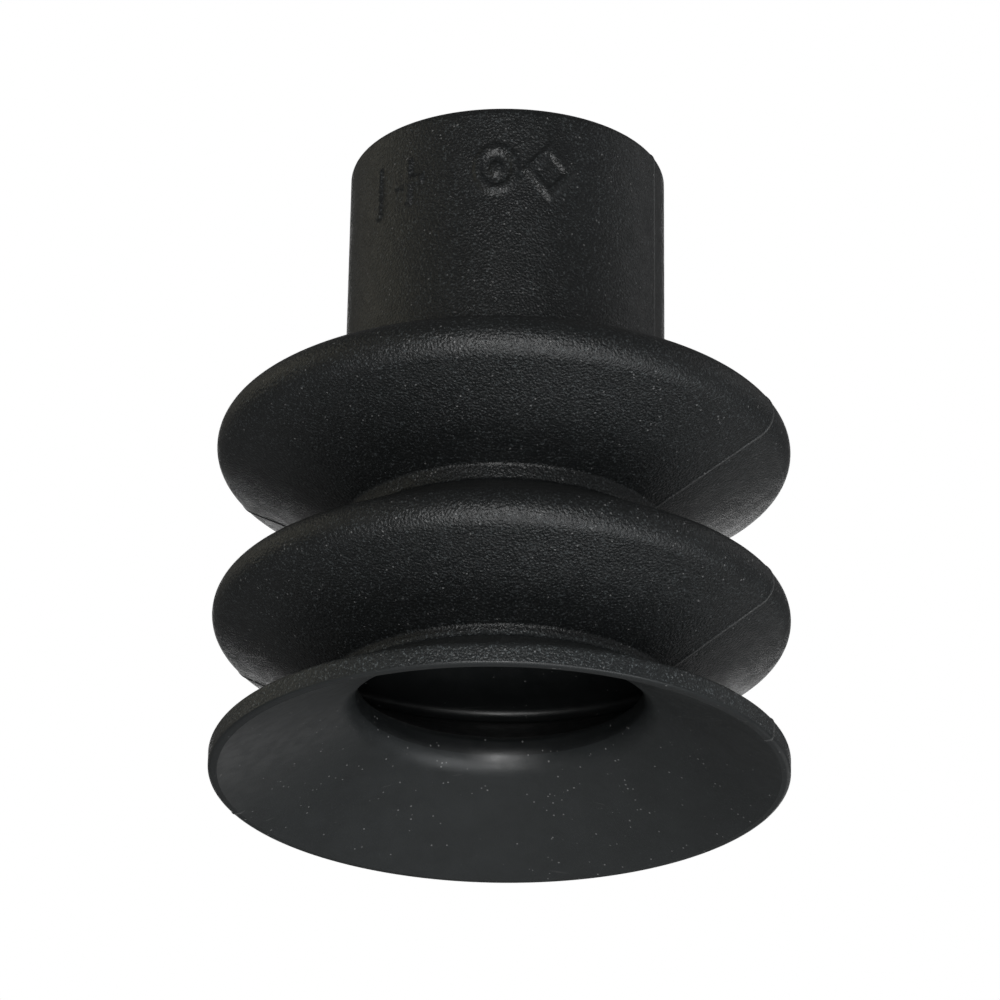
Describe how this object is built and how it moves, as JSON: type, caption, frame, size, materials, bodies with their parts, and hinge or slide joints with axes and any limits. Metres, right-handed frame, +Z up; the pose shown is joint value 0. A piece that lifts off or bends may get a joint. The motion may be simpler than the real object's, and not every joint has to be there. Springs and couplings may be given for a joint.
{
  "type": "vacuum suction cup",
  "caption": "Round rubber bellows suction cup with a soft sealing lip and a flush female threaded insert with filter.",
  "frame": {"origin": "centre of the mouth plane, where the lip meets the work", "axes": "+Z up the cup's axis, from the mouth to the collar"},
  "size_m": [0.0322, 0.0322, 0.0371],
  "materials": {
    "rubber": "matt moulded nitrile rubber with a fine spark-eroded grain",
    "lip_rubber": "smoother satin nitrile rubber on the sealing lip",
    "insert_metal": "nickel-plated turned brass",
    "screen_steel": "etched stainless steel",
    "spring_steel": "drawn stainless spring wire"
  },
  "bodies": {
    "mounting_collar": {"collar": "rubber", "upper_top_flank": "rubber", "threaded_insert": "insert_metal", "filter_screen": "screen_steel", "filter_snap_ring": "spring_steel"},
    "upper_fold": {"upper_fold": "rubber"},
    "upper_under_flank": {"upper_under_flank": "rubber"},
    "middle_neck": {"middle_neck": "rubber"},
    "lower_top_flank": {"lower_top_flank": "rubber"},
    "lower_fold": {"lower_fold": "rubber"},
    "lower_under_flank": {"lower_under_flank": "rubber"},
    "lip_neck": {"lip_neck": "rubber"},
    "lip_skirt": {"lip_skirt": "lip_rubber"},
    "sealing_lip": {"sealing_lip": "lip_rubber"}
  },
  "joints": [
    {"name": "bellows_stroke", "type": "slide", "parent": "mounting_collar", "child": "upper_fold", "axis": [0, 0, 1], "range_m": [0, 0.0018], "deforming": ["upper_top_flank"]},
    {"name": "upper_under_flank_fold", "type": "slide", "parent": "upper_fold", "child": "upper_under_flank", "axis": [0, 0, 1], "range_m": [0, 0.00198], "deforming": ["upper_under_flank"]},
    {"name": "tilt_about_y", "type": "hinge", "parent": "upper_under_flank", "child": "middle_neck", "pos_m": [0, 0, 0.01444], "axis": [0, 1, 0], "range_deg": [-3.5, 3.5]},
    {"name": "tilt_about_x", "type": "hinge", "parent": "middle_neck", "child": "lower_top_flank", "pos_m": [0, 0, 0.01444], "axis": [1, 0, 0], "range_deg": [-3.5, 3.5]},
    {"name": "lower_top_flank_fold", "type": "slide", "parent": "lower_top_flank", "child": "lower_fold", "axis": [0, 0, 1], "range_m": [0, 0.00216], "deforming": ["lower_top_flank"]},
    {"name": "lower_under_flank_fold", "type": "slide", "parent": "lower_fold", "child": "lower_under_flank", "axis": [0, 0, 1], "range_m": [0, 0.0018], "deforming": ["lower_under_flank"]},
    {"name": "lip_neck_tilt_about_y", "type": "hinge", "parent": "lower_under_flank", "child": "lip_neck", "pos_m": [0, 0, 0.00462], "axis": [0, 1, 0], "range_deg": [-2.45, 2.45]},
    {"name": "lip_neck_tilt_about_x", "type": "hinge", "parent": "lip_neck", "child": "lip_skirt", "pos_m": [0, 0, 0.00462], "axis": [1, 0, 0], "range_deg": [-2.45, 2.45]},
    {"name": "lip_flatten", "type": "slide", "parent": "lip_skirt", "child": "sealing_lip", "axis": [0, 0, 1], "range_m": [0, 0.0018], "deforming": ["lip_skirt"]}
  ],
  "couplings": [
    {"joint": "upper_under_flank_fold", "follows": "bellows_stroke", "ratio": 1.1},
    {"joint": "lower_top_flank_fold", "follows": "bellows_stroke", "ratio": 1.2},
    {"joint": "lower_under_flank_fold", "follows": "bellows_stroke", "ratio": 1},
    {"joint": "lip_neck_tilt_about_y", "follows": "tilt_about_y", "ratio": 0.7},
    {"joint": "lip_neck_tilt_about_x", "follows": "tilt_about_x", "ratio": 0.7}
  ]
}
